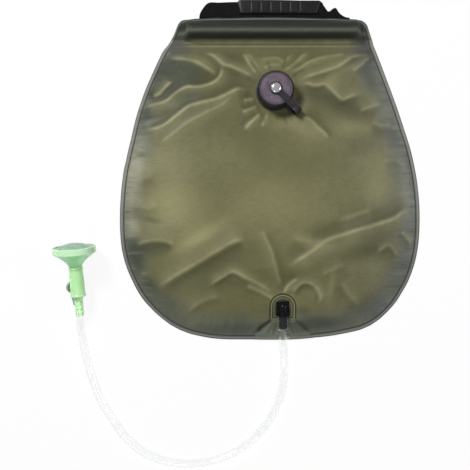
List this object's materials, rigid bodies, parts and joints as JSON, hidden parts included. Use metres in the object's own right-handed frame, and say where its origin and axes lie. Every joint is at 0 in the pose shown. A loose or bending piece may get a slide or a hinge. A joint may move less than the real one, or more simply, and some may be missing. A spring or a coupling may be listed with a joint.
{
  "type": "camp shower bag",
  "caption": "Olive camp shower bag lying flat, with a ribbed carrying grip, screw filler cap on a tether, clear hose and a mint shower head with a tap.",
  "frame": {"origin": "underside of the back panel, on the bag's centreline, half way up the bag", "axes": "+Z out of the front panel, up from the floor the bag lies on; +Y towards the handle; +X to the right as the front is read"},
  "size_m": [0.5175, 0.6672, 0.0606],
  "materials": {
    "olive_sheet": "coated woven sheet, semi-matt",
    "black_sheet": "coated sheet, matt",
    "black_webbing": "woven webbing",
    "black_rubber": "matt",
    "black_moulding": "satin",
    "white_tube": "extruded",
    "chrome": "polished",
    "steel": "brushed",
    "clear_hose": "clear and flexible",
    "mint_plastic": "satin, slightly translucent",
    "mint_plastic_dark": "satin, slightly translucent"
  },
  "bodies": {
    "bag": {"bag_back_panel": "black_sheet", "bag_front_panel": "olive_sheet", "hanger_rod": "white_tube", "handle_loop_left": "black_webbing", "handle_loop_right": "black_webbing", "filler_neck": "black_moulding", "cap_tether": "black_rubber", "outlet_fitting": "black_moulding", "hose": "clear_hose", "head_body": "mint_plastic", "head_horn": "mint_plastic_dark", "head_rose": "mint_plastic", "tap_seal": "black_rubber"},
    "rivet": {"cap_rivet": "chrome", "rivet_washer": "steel"},
    "cap": {"filler_cap": "black_moulding", "cap_gasket": "black_rubber"},
    "tap": {"tap_lever": "mint_plastic_dark", "tap_clip": "steel"},
    "handle": {"handle_strap": "black_webbing", "handle_grip": "black_rubber"}
  },
  "joints": [
    {"name": "cap_lift", "type": "slide", "parent": "bag", "child": "rivet", "axis": [0, 0, 1], "range_m": [0, 0.006], "deforming": ["cap_tether"]},
    {"name": "cap_turn", "type": "hinge", "parent": "rivet", "child": "cap", "pos_m": [0.007, 0.121, 0.0278], "axis": [0, 0, 1], "range_deg": [0, 720]},
    {"name": "tap_turn", "type": "hinge", "parent": "bag", "child": "tap", "pos_m": [-0.2691, -0.1553, 0.0227], "axis": [-0.6481, 0.0672, -0.7586], "range_deg": [0, 90]},
    {"name": "handle_swing", "type": "hinge", "parent": "bag", "child": "handle", "pos_m": [0.007, 0.2309, 0.0025], "axis": [1, 0, 0], "range_deg": [0, 90]}
  ],
  "couplings": [
    {"joint": "cap_lift", "follows": "cap_turn", "m_per_rad": 0.0004774}
  ]
}
